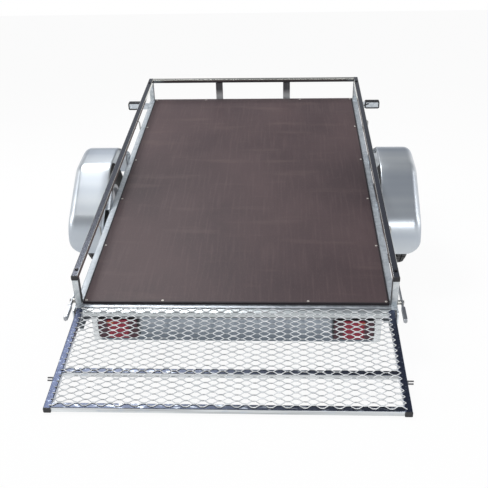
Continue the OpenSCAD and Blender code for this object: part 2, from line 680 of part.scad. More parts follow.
// A ball coupling: a sleeve over the tube, a neck that narrows to a round head with a socket below,
// and two lugs on top that carry the handle's pin
sleeve_w = bar_size + 2*(sleeve_t + fit_gap);
sleeve_y = bar_reach - neck_l - sleeve_l;
neck_r = 26;
lug_x = 9;
lug_t = 4;
lug_w = 28;
lug_top = 46;
handle_y = bar_reach - 24;
handle_pin_r = 5;
module coupling() color("silver") on_drawbar() difference() {
    union() {
        translate([-sleeve_w/2, sleeve_y, -sleeve_w/2]) cube([sleeve_w, sleeve_l, sleeve_w]);
        hull() {
            translate([-sleeve_w/2, sleeve_y + sleeve_l - 2, -sleeve_w/2]) cube([sleeve_w, 2, sleeve_w]);
            translate([0, bar_reach, -ball_drop]) rotate([90, 0, 0]) cylinder(r = neck_r, h = 20, $fn = 32);
        }
        translate([0, bar_reach, -ball_drop]) sphere(head_r);
        both_sides() side_plate(lug_x, lug_t) {
            translate([handle_y - lug_w/2, 0]) square([lug_w, lug_top - lug_w/2]);
            translate([handle_y, lug_top - lug_w/2]) circle(lug_w/2);
        }
        translate([-lug_x - lug_t - 3, handle_y, lug_top - lug_w/2]) rotate([0, 90, 0])
            cylinder(r = handle_pin_r, h = 2*(lug_x + lug_t + 3));
    }
    translate([-bar_size/2 - fit_gap, sleeve_y - 1, -bar_size/2 - fit_gap])
        cube([bar_size + 2*fit_gap, bar_front - sleeve_y + 1 + fit_gap, bar_size + 2*fit_gap]);
    translate([0, bar_reach, -ball_drop]) sphere(socket_r);
    translate([0, bar_reach, -ball_drop - head_r]) cylinder(r = socket_r, h = head_r);
    translate([-head_r - 1, bar_reach - neck_l + 12, -ball_drop - head_r - 1])
        cube([2*head_r + 2, neck_l + head_r, head_r + 1 - head_cut]);
}

// The handle: an eye on the lugs' pin, an arm that leans back and a round grip
arm_rise = 14;
handle_w = 16;
eye_r = 13;
module coupling_handle() color(black) on_drawbar() translate([0, handle_y, lug_top - lug_w/2])
    side_plate(-lug_x + 2*fit_gap, 2*lug_x - 4*fit_gap) difference() {
        union() {
            circle(eye_r);
            rotate(180 - arm_rise) translate([0, -handle_w/2]) square([handle_l, handle_w]);
            rotate(180 - arm_rise) translate([handle_l, 0]) circle(handle_w/2);
        }
        circle(handle_pin_r + fit_gap);
    }

// Ramp frame: tubes of the rails' size, a side tube at each end of three cross tubes
ramp_x = ramp_w/2 - rail_w;
module ramp_side_tube() color(bright) on_ramp()
    translate([ramp_x, rail_w/2, -rail_h/2]) rotate([90, 0, 0])
    linear_extrude(ramp_l + rail_w/2) tube_cut(rail_w, rail_h, rail_wall);
module ramp_cross_tubes() color(bright) on_ramp()
    for (y = [0, -ramp_mid, -ramp_l + rail_w/2]) translate([0, y - rail_w/2, -rail_h/2])
    rotate([90, 0, 90]) linear_extrude(2*ramp_x, center = true) tube_cut(rail_w, rail_h, rail_wall);
module ramp_plugs() color(black) on_ramp() both_sides()
    translate([ramp_x, -ramp_l, -rail_h/2]) tube_plug();

// Pins: the hinge pins in the ears, and a loose-load pin on each side tube
pin_y = -ramp_mid - 35;
pin_out = 22;
pin_r = 6;
hinge_pin_out = hinge_ear_x - ramp_w/2 + hinge_ear_t;
module ramp_pins() color("dimgray") on_ramp() both_sides() {
    translate([ramp_w/2, 0, 0]) rotate([0, 90, 0]) cylinder(r = hinge_pin_r, h = hinge_pin_out);
    translate([ramp_w/2, pin_y, 0]) rotate([0, 90, 0]) cylinder(r = pin_r, h = pin_out);
}

// The mesh is expanded metal: rows of zigzag strands, each row turned over against the next, so
// that they meet along the joints between the diamonds
mesh_w = 2*ramp_x + 1.4*rail_w;
mesh_n = ceil(mesh_w/mesh_x);
strand_rise = mesh_y/2 - strand_w - row_gap;
function zigzag(lift) = [
    for (i = [0:mesh_n - 1], p = [[0, 0], [bond_l, 0], [mesh_x/2, 1], [mesh_x/2 + bond_l, 1]])
        [(i - mesh_n/2)*mesh_x + p[0], p[1]*strand_rise + lift]];
module strand() intersection() {
    polygon(concat(zigzag(0), backwards(zigzag(strand_w))));
    translate([-mesh_w/2, -1]) square([mesh_w, mesh_y]);
}
module mesh_panel(y_low, y_high) color(bright) on_ramp() translate([0, y_low, rail_h/2])
    for (k = [0:floor((y_high - y_low)*2/mesh_y) - 1]) translate([0, k*mesh_y/2, 0])
    linear_extrude(mesh_t) {
        if (k % 2 == 0) strand();
        if (k % 2 == 1) translate([0, mesh_y/2 - row_gap]) mirror([0, 1]) strand();
    }
mesh_low = floor((ramp_l - ramp_mid)/mesh_y)*mesh_y;
module ramp_mesh_upper() mesh_panel(-ramp_mid, -2);
module ramp_mesh_lower() mesh_panel(-ramp_mid - mesh_low, -ramp_mid + 1);

deck();
left_side() side_beam();  // side_beam_left
side_beam();  // side_beam_right
front_beam();
rear_beam();
cross_members();
corner_posts();
left_side() side_rail();  // side_rail_left
side_rail();  // side_rail_right
front_rail();
front_uprights();
rail_plugs();
rope_hooks();
lamp_panel();
left_side() tail_lamp();  // tail_lamp_left
tail_lamp();  // tail_lamp_right
left_side() tail_lens();  // tail_lens_left
tail_lens();  // tail_lens_right
marker_brackets();
marker_lamps();
marker_lenses();
axle_beam();
swing_arms();
left_side() fender();  // fender_left
fender();  // fender_right
fender_stays();
drawbar_bracket();
lock_bracket();
latch_bolts();
ramp_ears();
left_side() tyre();  // tyre_left
tyre();  // tyre_right
left_side() rim();  // rim_left
rim();  // rim_right
left_side() hub();  // hub_left
hub();  // hub_right
drawbar();
coupling();
coupling_handle();
left_side() ramp_side_tube();  // ramp_side_tube_left
ramp_side_tube();  // ramp_side_tube_right
ramp_cross_tubes();
ramp_mesh_upper();
ramp_mesh_lower();
ramp_plugs();
ramp_pins();
left_side() latch();  // latch_left
latch();  // latch_right
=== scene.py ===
import json
import math

import bmesh
import bpy
from mathutils import Matrix, Vector


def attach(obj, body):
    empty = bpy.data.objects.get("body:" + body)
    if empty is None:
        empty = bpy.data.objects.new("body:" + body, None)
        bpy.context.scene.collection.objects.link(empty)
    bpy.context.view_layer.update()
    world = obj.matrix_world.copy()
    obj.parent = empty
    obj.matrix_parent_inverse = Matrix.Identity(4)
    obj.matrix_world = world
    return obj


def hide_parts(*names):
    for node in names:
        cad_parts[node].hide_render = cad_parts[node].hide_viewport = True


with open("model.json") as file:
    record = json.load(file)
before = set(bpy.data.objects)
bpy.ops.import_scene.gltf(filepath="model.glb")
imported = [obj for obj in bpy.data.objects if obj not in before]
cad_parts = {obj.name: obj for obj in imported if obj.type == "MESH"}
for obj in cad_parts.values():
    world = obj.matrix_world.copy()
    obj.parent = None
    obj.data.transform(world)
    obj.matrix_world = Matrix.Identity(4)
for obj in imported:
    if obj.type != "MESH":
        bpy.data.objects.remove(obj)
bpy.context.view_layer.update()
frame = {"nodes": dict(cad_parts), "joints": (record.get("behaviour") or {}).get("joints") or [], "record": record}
mounts = {m["name"]: m for m in frame["record"]["mounts"]}
joints = {j["name"]: j for j in frame["joints"]}

# The bed's own frame, in metres: its origin is the middle of the deck's rear edge, +Y runs up the deck.
# It is read from the mount on the deck's top, whose axis leans back as far as the bed does.
DECK_L = 2.030
DECK_W = 1.160
deck_mount = mounts["deck_top"]
tilt = math.atan2(-deck_mount["axis"][1], deck_mount["axis"][2])
bed = (Matrix.Translation(deck_mount["pos_m"]) @ Matrix.Rotation(tilt, 4, "X")
       @ Matrix.Translation((0, -DECK_L / 2, 0)))

# The camera stands behind the trailer, a little right of its middle, and looks down its bed.
# Its place in the bed's frame was worked out from the corners of the deck and the rails.
PHOTO_WIDTH_PX = 488
FOCAL_PX = 808.0
SENSOR_MM = 36.0
CAMERA_PLACE = (0.186, -2.461, 1.804)
CAMERA_DOWN = math.radians(32.04)
CAMERA_LEFT = math.radians(3.37)
CAMERA_ROLL = math.radians(1.68)
camera_data = bpy.data.cameras.new("camera")
camera_data.sensor_width = SENSOR_MM
camera_data.lens = FOCAL_PX / PHOTO_WIDTH_PX * SENSOR_MM
camera = bpy.data.objects.new("camera", camera_data)
camera.matrix_world = (bed @ Matrix.Translation(CAMERA_PLACE) @ Matrix.Rotation(CAMERA_LEFT, 4, "Z")
                       @ Matrix.Rotation(math.pi / 2 - CAMERA_DOWN, 4, "X")
                       @ Matrix.Rotation(-CAMERA_ROLL, 4, "Z"))
bpy.context.scene.collection.objects.link(camera)
bpy.context.scene.camera = camera

# A plain studio: a wide pale floor, a white horizon and a darker ceiling that the metal mirrors.
# The floor glows by itself where it is seen or mirrored, and a faint shadow is left on it.
FLOOR_HALF = 40
FLOOR_Z = -0.001
FLOOR_GREY = 0.86
FLOOR_GLOW = 0.94


def studio_floor_material():
    material = bpy.data.materials.new("studio_floor")
    material.use_nodes = True
    nodes, links = material.node_tree.nodes, material.node_tree.links
    nodes.clear()
    out = nodes.new("ShaderNodeOutputMaterial")
    mix = nodes.new("ShaderNodeMixShader")
    diffuse = nodes.new("ShaderNodeBsdfDiffuse")
    diffuse.inputs["Color"].default_value = (FLOOR_GREY, FLOOR_GREY, FLOOR_GREY, 1)
    glow = nodes.new("ShaderNodeEmission")
    path = nodes.new("ShaderNodeLightPath")
    seen = path.outputs["Is Camera Ray"]
    for mirrored in ("Is Glossy Ray", "Is Transmission Ray"):
        either = nodes.new("ShaderNodeMath")
        either.operation = "MAXIMUM"
        links.new(seen, either.inputs[0])
        links.new(path.outputs[mirrored], either.inputs[1])
        seen = either.outputs[0]
    share = nodes.new("ShaderNodeMath")
    share.operation = "MULTIPLY"
    share.inputs[1].default_value = FLOOR_GLOW
    links.new(seen, share.inputs[0])
    links.new(share.outputs[0], mix.inputs[0])
    links.new(diffuse.outputs[0], mix.inputs[1])
    links.new(glow.outputs[0], mix.inputs[2])
    links.new(mix.outputs[0], out.inputs["Surface"])
    return material


floor_shape = bmesh.new()
bmesh.ops.create_grid(floor_shape, x_segments=1, y_segments=1, size=FLOOR_HALF)
bmesh.ops.translate(floor_shape, verts=floor_shape.verts, vec=(0, 0, FLOOR_Z))
floor_data = bpy.data.meshes.new("floor")
floor_shape.to_mesh(floor_data)
floor_shape.free()
floor = bpy.data.objects.new("floor", floor_data)
bpy.context.scene.collection.objects.link(floor)
floor_data.materials.append(studio_floor_material())

HORIZON_TOP = 0.22
CEILING_EDGE = 0.62
CEILING_COLOUR = (0.30, 0.309, 0.33, 1)
world = bpy.data.worlds.new("studio")
bpy.context.scene.world = world
world.use_nodes = True
sky = world.node_tree.nodes
sky_links = world.node_tree.links
sky.clear()
sky_out = sky.new("ShaderNodeOutputWorld")
sky_light = sky.new("ShaderNodeBackground")
sky_white = sky.new("ShaderNodeBackground")
sky_white.inputs["Color"].default_value = (1, 1, 1, 1)
sky_path = sky.new("ShaderNodeLightPath")
sky_mix = sky.new("ShaderNodeMixShader")
sky_place = sky.new("ShaderNodeTexCoord")
sky_split = sky.new("ShaderNodeSeparateXYZ")
sky_ramp = sky.new("ShaderNodeValToRGB")
horizon, ceiling = sky_ramp.color_ramp.elements
horizon.position, horizon.color = HORIZON_TOP, (1, 1, 1, 1)
ceiling.position, ceiling.color = CEILING_EDGE, CEILING_COLOUR
sky_links.new(sky_place.outputs["Generated"], sky_split.inputs[0])
sky_links.new(sky_split.outputs["Z"], sky_ramp.inputs[0])
sky_links.new(sky_ramp.outputs[0], sky_light.inputs["Color"])
sky_links.new(sky_path.outputs["Is Camera Ray"], sky_mix.inputs[0])
sky_links.new(sky_light.outputs[0], sky_mix.inputs[1])
sky_links.new(sky_white.outputs[0], sky_mix.inputs[2])
sky_links.new(sky_mix.outputs[0], sky_out.inputs["Surface"])


def soft_lamp(name, place, look_at, size, watts):
    data = bpy.data.lights.new(name, "AREA")
    data.shape = "RECTANGLE"
    data.size, data.size_y = size
    data.energy = watts
    lamp = bpy.data.objects.new(name, data)
    lamp.location = place
    lamp.rotation_euler = (Vector(look_at) - Vector(place)).to_track_quat("-Z", "Y").to_euler()
    bpy.context.scene.collection.objects.link(lamp)


soft_lamp("back_light", (1.5, -5.6, 3.6), (0, -0.4, 0.3), (2.6, 1.2), 80)
soft_lamp("top_light", (-1.5, 0.9, 4.6), (-0.4, 0.2, 0.3), (2.6, 1.4), 125)
soft_lamp("rear_top_light", (-1.8, -0.7, 4.6), (-0.6, -0.4, 0.3), (2.2, 1.0), 9)
soft_lamp("left_light", (-4.2, -0.8, 2.4), (0, 0, 0.3), (1.6, 2.8), 45)
soft_lamp("right_light", (4.4, -0.4, 2.0), (0, 0, 0.3), (1.4, 2.8), 36)
bpy.context.scene.view_settings.view_transform = "Standard"


# The deck is a sheet of plywood under a dark phenolic film, into which a fine grid is pressed.
# Use has left faint streaks on the film; its rear edge is sealed dark, and dark side bands are painted shade.
def screen_colour(red, green, blue):
    """The linear colour that shows as these 8-bit screen values."""
    values = [c / 255 for c in (red, green, blue)]
    return [c / 12.92 if c <= 0.04045 else ((c + 0.055) / 1.055) ** 2.4 for c in values]


WAVE_PERIOD = math.pi / 10


class Finish:
    """A material built up in steps from screen colours, on Object coordinates in a part's own frame."""

    def __init__(self, name, colour, roughness, metallic=0.0, part=Matrix.Identity(4)):
        self.material = bpy.data.materials.new(name)
        self.material.use_nodes = True
        self.nodes = self.material.node_tree.nodes
        self.links = self.material.node_tree.links
        self.shader = self.nodes["Principled BSDF"]
        self.shader.inputs["Base Color"].default_value = (*screen_colour(*colour), 1)
        self.shader.inputs["Roughness"].default_value = roughness
        self.shader.inputs["Metallic"].default_value = metallic
        self.height = None
        place = self.nodes.new("ShaderNodeTexCoord")
        self.frame = self.nodes.new("ShaderNodeMapping")
        self.frame.inputs["Location"].default_value = part.inverted().to_translation()
        self.frame.inputs["Rotation"].default_value = part.inverted().to_euler()
        self.links.new(place.outputs["Object"], self.frame.inputs["Vector"])

    def node(self, kind, source, socket, **values):
        """A node that reads a source, with some of its values set."""
        made = self.nodes.new(kind)
        self.links.new(source, made.inputs[socket])
        for name, value in values.items():
            made.inputs[name].default_value = value
        return made

    def noise(self, scale, stretch=(1, 1, 1), detail=4.0):
        stretched = self.node("ShaderNodeMapping", self.frame.outputs[0], "Vector", Scale=stretch)
        made = self.node("ShaderNodeTexNoise", stretched.outputs[0], "Vector", Scale=scale, Detail=detail)
        return made.outputs["Fac"]

    def cells(self, scale):
        made = self.node("ShaderNodeTexVoronoi", self.frame.outputs[0], "Vector", Scale=scale)
        return self.node("ShaderNodeSeparateColor", made.outputs["Color"], 0).outputs[0]

    def ribs(self, direction, pitch):
        """Soft ribs that repeat at a pitch, in metres."""
        made = self.node("ShaderNodeTexWave", self.frame.outputs[0], "Vector", Scale=WAVE_PERIOD / pitch)
        made.bands_direction = direction
        return made.outputs["Fac"]

    def apart(self, axis, middle):
        """How far a point is from a plane on each side of the part's middle, in metres."""
        value = self.node("ShaderNodeSeparateXYZ", self.frame.outputs[0], 0).outputs[axis]
        for step in ("ABSOLUTE", "SUBTRACT", "ABSOLUTE"):
            made = self.node("ShaderNodeMath", value, 0)
            made.operation = step
            made.inputs[1].default_value = middle
            value = made.outputs[0]
        return value

    def spread(self, pattern, start, end, low=0.0, high=1.0):
        """The part of a pattern from start to end is spread over low to high."""
        made = self.node("ShaderNodeMapRange", pattern, "Value")
        for name, value in (("From Min", start), ("From Max", end), ("To Min", low), ("To Max", high)):
            made.inputs[name].default_value = value
        return made.outputs[0]

    def tint(self, pattern, low, high, low_colour, high_colour):
        """The colour follows a pattern, from one colour at low to the other at high."""
        ramp = self.node("ShaderNodeValToRGB", pattern, 0)
        first, last = ramp.color_ramp.elements
        first.position, first.color = low, (*screen_colour(*low_colour), 1)
        last.position, last.color = high, (*screen_colour(*high_colour), 1)
        self.links.new(ramp.outputs[0], self.shader.inputs["Base Color"])

    def blend_tint(self, pattern, start, end, colour):
        """Another colour comes over the tint, from none at start to all of it at end."""
        under = self.shader.inputs["Base Color"].links[0].from_socket
        mix = self.nodes.new("ShaderNodeMix")
        mix.data_type = "RGBA"
        self.links.new(self.spread(pattern, start, end), mix.inputs["Factor"])
        self.links.new(under, mix.inputs["A"])
        mix.inputs["B"].default_value = (*screen_colour(*colour), 1)
        self.links.new(mix.outputs["Result"], self.shader.inputs["Base Color"])

    def gloss(self, pattern, low, high):
        """The roughness follows a pattern between two values."""
        self.links.new(self.spread(pattern, 0.0, 1.0, low, high), self.shader.inputs["Roughness"])

    def relief(self, pattern, depth, strength):
        """The surface rises and falls with a pattern, by a depth in metres."""
        bump = self.node("ShaderNodeBump", pattern, "Height", Strength=strength, Distance=depth)
        if self.height:
            self.links.new(self.height, bump.inputs["Normal"])
        self.height = bump.outputs[0]
        self.links.new(self.height, self.shader.inputs["Normal"])


def dress(finish, slot, *nodes):
    """Packed nodes keep their shapes and take a finish."""
    for node in nodes:
        data = frame["nodes"][node].data
        data.materials.clear()
        data.materials.append(finish.material)


PRINT_PITCH = 0.0052
PRINT_DEPTH = 0.0003
DARK_EDGE_AND_GAP_SHADE = (0.008, 0.005)
film = Finish("phenolic_film", (76, 66, 69), 0.5, part=bed)
film.shader.inputs["Specular IOR Level"].default_value = 0.28
clouds = film.noise(2.2, (1, 0.7, 1), 5.0)
film.tint(clouds, 0.32, 0.68, (60, 46, 50), (80, 64, 66))
film.blend_tint(film.noise(5.0, (0.5, 2.6, 1), 9.0), 0.56, 0.92, (94, 78, 76))
film.blend_tint(film.noise(90.0, (1, 0.05, 1), 3.0), 0.5, 1.1, (92, 76, 76))
film.blend_tint(film.noise(420.0, (1, 0.15, 1), 3.0), 0.55, 0.95, (94, 80, 77))
# A dark band along the rear edge stands for its sealed edge; along the sides it is painted shade in the gap by the
# beams.
for axis, edge in (("X", DECK_W / 2), ("Y", 0)):
    film.blend_tint(film.apart(axis, edge), *DARK_EDGE_AND_GAP_SHADE, (34, 28, 32))
film.gloss(clouds, 0.42, 0.56)
for direction in ("X", "Y"):
    film.relief(film.ribs(direction, PRINT_PITCH), PRINT_DEPTH, 0.5)
dress(film, "film_plywood", "deck")

# Countersunk screws hold the deck to the frame: four across each end, and one at each side over
# every cross member. Their zinc-coated heads stand a little above the film.
CROSS_MEMBERS = 4
SCREW_R = 0.005
SCREW_RISE = 0.0012
SCREW_FROM_EDGE = 0.012
END_SCREW_X = (0.276, 0.568)
SHARP_ANGLE = math.radians(38)
screw_zinc = Finish("screw_steel", (196, 192, 184), 0.4, 0.35)
screw_zinc.gloss(screw_zinc.noise(300.0), 0.34, 0.5)


def add_piece(name, shape, place, body, finish, stands_for=()):
    """A finished shape is put in place, shaded and hung on its body."""
    bmesh.ops.transform(shape, matrix=place, verts=shape.verts)
    data = bpy.data.meshes.new(name)
    shape.to_mesh(data)
    shape.free()
    data.shade_smooth()
    data.set_sharp_from_angle(angle=SHARP_ANGLE)
    data.materials.append(finish.material)
    piece = bpy.data.objects.new(name, data)
    bpy.context.scene.collection.objects.link(piece)
    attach(piece, body)
    if stands_for:
        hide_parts(*stands_for)
    return piece


def set_in(whole, shape, places):
    """A shape is taken up into a larger mesh at each place, and a mirrored one is turned right side out."""
    data = bpy.data.meshes.new("copy")
    shape.to_mesh(data)
    shape.free()
    for place in places:
        before = set(whole.verts)
        whole.from_mesh(data)
        bmesh.ops.transform(whole, matrix=place, verts=[v for v in whole.verts if v not in before])
        if place.is_negative:
            bmesh.ops.reverse_faces(whole, faces=[f for f in whole.faces if f.verts[0] not in before])
    bpy.data.meshes.remove(data)
    return whole


def both_sides(x, y, z):
    """Two places, as far left and right of the bed's middle."""
    return [Matrix.Translation((side * x, y, z)) for side in (-1, 1)]


def screw_head(radius, rise):
    """A low head: it rises from its rim to a flat land round a sunk recess."""
    shape = bmesh.new()
    bmesh.ops.create_circle(shape, cap_ends=True, radius=radius, segments=16)
    middle = shape.faces[:]
    for share, depth in ((0.25, rise), (0.40, 0.0), (0.06, -rise)):
        bmesh.ops.inset_individual(shape, faces=middle, thickness=radius * share, depth=depth)
    return shape


screw_places = []
for y in (SCREW_FROM_EDGE, DECK_L - SCREW_FROM_EDGE):
    for x in END_SCREW_X:
        screw_places += both_sides(x, y, 0)
for i in range(1, CROSS_MEMBERS + 1):
    screw_places += both_sides(DECK_W / 2 - SCREW_FROM_EDGE, i * DECK_L / (CROSS_MEMBERS + 1), 0)
screws = set_in(bmesh.new(), screw_head(SCREW_R, SCREW_RISE), screw_places)
add_piece("deck_screws", screws, bed, "bed", screw_zinc)


# The frame is folded from sheet steel: beams round the deck, cross members, posts and brackets.
# It is dipped in hot zinc, which leaves it pale and semi-matt, with crystals a centimetre across.
def galvanised(name, part, light=(214, 220, 225), dark=(192, 199, 206), sheen=(0.3, 0.5)):
    """Zinc whose crystals differ in colour and in roughness, between the two values of the sheen."""
    zinc = Finish(name, light, 0.42, 0.8, part)
    crystals = zinc.cells(75.0)
    zinc.tint(crystals, 0.1, 0.9, dark, light)
    zinc.blend_tint(zinc.noise(14.0, detail=6.0), 0.5, 0.8, light)
    zinc.gloss(crystals, *sheen)
    zinc.relief(zinc.noise(160.0), 0.0001, 0.3)
    return zinc


BEAM_X = 0.610
RAIL_W = 0.025
RAIL_X = BEAM_X - RAIL_W / 2
PANEL_END_X = 0.5425
REAR_BEAM_LOW = 0.054
frame_zinc = galvanised("galvanised_sheet", bed)
dress(frame_zinc, "galvanised_steel", "front_beam", "cross_members", "marker_brackets", "axle_beam",
      "swing_arms", "fender_stays", "drawbar_bracket", "lock_bracket", "ramp_ears")
side_beam_zinc = galvanised("galvanised_side_beams", bed, (188, 194, 199), (168, 175, 181), (0.52, 0.66))
dress(side_beam_zinc, "galvanised_steel", "side_beam_left", "side_beam_right")
rear_beam_zinc = galvanised("galvanised_rear_beam", bed, (196, 202, 208), (176, 183, 190))
# Painted shade: the rear beam is dark from its flange's rear fold down, as the shadow line under the flange.
rear_beam_zinc.blend_tint(rear_beam_zinc.apart("Y", 0.0), 0.018, 0.021, (112, 116, 120))
dress(rear_beam_zinc, "galvanised_steel", "rear_beam")
panel_zinc = galvanised("galvanised_panel", bed, (160, 168, 177), (132, 141, 151))
# Painted shade and highlights: the panel darkens towards its bottom, and light bands at its two ends are painted
# highlights.
panel_zinc.blend_tint(panel_zinc.apart("Z", REAR_BEAM_LOW), 0.040, 0.110, (108, 117, 127))
panel_zinc.blend_tint(panel_zinc.apart("X", PANEL_END_X), 0.020, 0.010, (226, 230, 232))
dress(panel_zinc, "galvanised_steel", "lamp_panel")
post_zinc = galvanised("galvanised_post", bed, (222, 226, 228), (190, 198, 202))
# Painted shade: narrow dark bands at the posts' corners, on their sides.
post_zinc.blend_tint(post_zinc.apart("X", RAIL_X), 0.0104, 0.0120, (112, 116, 118))
dress(post_zinc, "galvanised_steel", "corner_posts")


# The rails are square tube with a bright, smooth zinc coat, bolted to the posts, and have black plugs
# in their rear ends. Under the front rail stand two flat uprights of the same stock.
def tube_zinc(name, part, along, colour, sheen=None):
    """Zinc with streaks along a tube; a sheen gives it clouds of that roughness instead."""
    zinc = Finish(name, colour, 0.2, 1.0, part)
    streaks = zinc.noise(1.0, [3 if axis == along else 70 for axis in "XYZ"], 5.0)
    zinc.tint(streaks, 0.25, 0.75, [c * 0.72 for c in colour], colour)
    if sheen:
        zinc.gloss(zinc.noise(60.0), *sheen)
    else:
        zinc.gloss(streaks, 0.1, 0.28)
    return zinc


RAIL_TOP = 0.120
rail_zinc = tube_zinc("rail_zinc", bed, "Y", (150, 154, 162), (0.18, 0.26))
# Painted reflection and highlights: the rails' tops are darker as a mirror of the dark ceiling, and light bands
# along their edges are painted highlights.
rail_zinc.blend_tint(rail_zinc.apart("Z", RAIL_TOP), 0.0022, 0.0008, (100, 103, 112))
rail_zinc.blend_tint(rail_zinc.apart("X", RAIL_X), 0.0095, 0.0122, (226, 226, 220))
dress(rail_zinc, "zinc_tube", "side_rail_left", "side_rail_right")
front_zinc = tube_zinc("front_rail_zinc", bed, "X", (200, 200, 194))
# Painted shade: the front rail is darker below its top.
front_zinc.blend_tint(front_zinc.apart("Z", RAIL_TOP), 0.004, 0.012, (110, 112, 116))
dress(front_zinc, "zinc_tube", "front_rail")
upright_zinc = tube_zinc("upright_zinc", bed, "Z", (122, 124, 128))
# Painted light and shade: the uprights are dark higher up, under the front rail, and lighter near their feet.
upright_zinc.blend_tint(upright_zinc.apart("Z", 0.0), 0.055, 0.020, (214, 218, 220))
upright_zinc.shader.inputs["Metallic"].default_value = 0.55
dress(upright_zinc, "zinc_tube", "front_uprights")
black_plastic = Finish("black_plastic", (34, 34, 37), 0.5)
black_plastic.relief(black_plastic.noise(900.0), 0.0002, 0.5)
dress(black_plastic, "black_plastic", "rail_plugs", "tail_lamp_left", "tail_lamp_right",
      "marker_lamps", "ramp_plugs")

# Hooks of bent wire on the side beams' outer faces hold a lashing rope.
# They are zinc plated, and so are the bolts that the latches turn about.
plated = Finish("plated_wire", (176, 176, 172), 0.3, 1.0)
plated.gloss(plated.noise(120.0), 0.22, 0.4)
dress(plated, "bright_steel", "rope_hooks", "latch_bolts")

# Small hexagon bolts on washers hold the ramp's ears, the front lamps' brackets, the fenders' stays
# and the hooks to the side beams. Darker ones go down through the rails into their posts.
AXLE_Y = 1.000
STAY_APART = 0.2408
STAY_T = 0.004
HOOK_T = 0.003
BOLT_R = 0.0045
# The washer and the hexagon, each from, to and as wide as these shares of the bolt's radius, and
# the number of its sides.
HEAD_PARTS = ((0.0, 0.3, 1.7, 20), (0.3, 1.1, 1.15, 6))
RAIL_BOLT_Y = (0.040, 1.985)
beam_bolts = [(-0.008, -0.035), (-0.008, -0.062), (2.016, -0.020), (2.016, -0.042)]
stay_bolts = [(AXLE_Y + way * STAY_APART + step, z)
              for way in (-1, 1) for step in (-0.025, 0.025) for z in (-0.045, -0.070)]
hook_bolts = [(share * DECK_L, -0.042) for share in (0.255, 0.81)]


def bolt_head(radius):
    """A hexagon head on a round washer, standing on its own origin."""
    shape = bmesh.new()
    for low, high, wide, sides in HEAD_PARTS:
        made = bmesh.ops.create_cone(shape, cap_ends=True, segments=sides, radius1=radius * wide,
                                     radius2=radius * wide, depth=radius * (high - low))
        bmesh.ops.translate(shape, verts=made["verts"], vec=(0, 0, radius * (high + low) / 2))
    return shape


def on_beam(side, y, z, out):
    """The place of a bolt head that points away from a side beam's outer face."""
    return Matrix.Translation((side * (BEAM_X + out), y, z)) @ Matrix.Rotation(side * math.pi / 2, 4, "Y")


head_places = []
for bolts, out in ((beam_bolts, 0.0), (stay_bolts, STAY_T), (hook_bolts, HOOK_T)):
    head_places += [on_beam(side, y, z, out) for side in (-1, 1) for y, z in bolts]
frame_bolts = set_in(bmesh.new(), bolt_head(BOLT_R), head_places)
add_piece("frame_bolts", frame_bolts, bed, "bed", plated)
dark_steel = Finish("dark_steel", (64, 64, 66), 0.4, 1.0)
dark_steel.gloss(dark_steel.noise(160.0), 0.3, 0.5)
rail_places = [place for y in RAIL_BOLT_Y for place in both_sides(RAIL_X, y, RAIL_TOP)]
rail_bolts = set_in(bmesh.new(), bolt_head(BOLT_R), rail_places)
add_piece("rail_bolts", rail_bolts, bed, "bed", dark_steel)

# The tail lamps are black boxes behind red lenses that are ribbed inside. The lens is darker
# round its lit middle, and a small amber reflector is let into its upper outer corner.
LAMP_X = 0.449
LAMP_FACE_Y = -0.031
LAMP_MID_Z = -0.105
LENS_RIB = 0.004
REFLECTOR_SIZE = (0.026, 0.002, 0.010)
REFLECTOR_ROUND = 0.002
REFLECTOR_OUT = 0.0295
REFLECTOR_UP = 0.031
red_lens = Finish("red_lens", (110, 6, 28), 0.2, part=bed)
red_lens.tint(red_lens.apart("X", LAMP_X), 0.036, 0.042, (146, 2, 46), (66, 20, 40))
red_lens.relief(red_lens.ribs("X", LENS_RIB), 0.0004, 0.6)
dress(red_lens, "red_lens", "tail_lens_left", "tail_lens_right")
amber = Finish("amber_reflector", (196, 112, 60), 0.25)


def rounded_slab(size, radius):
    """A box whose edges along its depth are rounded."""
    shape = bmesh.new()
    bmesh.ops.create_cube(shape, size=1)
    bmesh.ops.scale(shape, verts=shape.verts, vec=size)
    deep = [e for e in shape.edges if abs(e.verts[0].co.y - e.verts[1].co.y) > size[1] / 2]
    bmesh.ops.bevel(shape, geom=deep, offset=radius, offset_type="OFFSET", segments=4, profile=0.5,
                    affect="EDGES", material=-1)
    return shape


amber_places = both_sides(LAMP_X + REFLECTOR_OUT, LAMP_FACE_Y, LAMP_MID_Z + REFLECTOR_UP)
reflectors = set_in(bmesh.new(), rounded_slab(REFLECTOR_SIZE, REFLECTOR_ROUND), amber_places)
add_piece("lamp_reflectors", reflectors, bed, "bed", amber)

# The front position lamps stick out beside the frame: a clear lens in a black base, with a black rim
# towards the rear. The bracket that carries each one has a slot, through which the base shows.
MARKER_X = 0.697
MARKER_Y = 2.000
MARKER_Z = -0.031
RIM_SIZE = (0.084, 0.003, 0.044)
RIM_ROUND = 0.009
RIM_EDGE = 0.006
SLOT_X = 0.662
SLOT_Z = -0.029
SLOT_SIZE = (0.034, 0.0012, 0.007)
SLOT_ROUND = 0.003
SLOT_LEAN = -0.35
clear_lens = Finish("clear_lens", (232, 232, 236), 0.15)
dress(clear_lens, "clear_lens", "marker_lenses")


def marker_rim():
    """A slab whose middle is cut out, so that a frame is left."""
    shape = rounded_slab(RIM_SIZE, RIM_ROUND)
    middles = [f for f in shape.faces if abs(f.normal.y) > 0.9]
    for face in middles:
        bmesh.ops.inset_region(shape, faces=[face], thickness=RIM_EDGE)
    loops = [e for f in middles for e in f.edges]
    bmesh.ops.delete(shape, geom=middles, context="FACES_ONLY")
    bmesh.ops.bridge_loops(shape, edges=loops)
    return shape


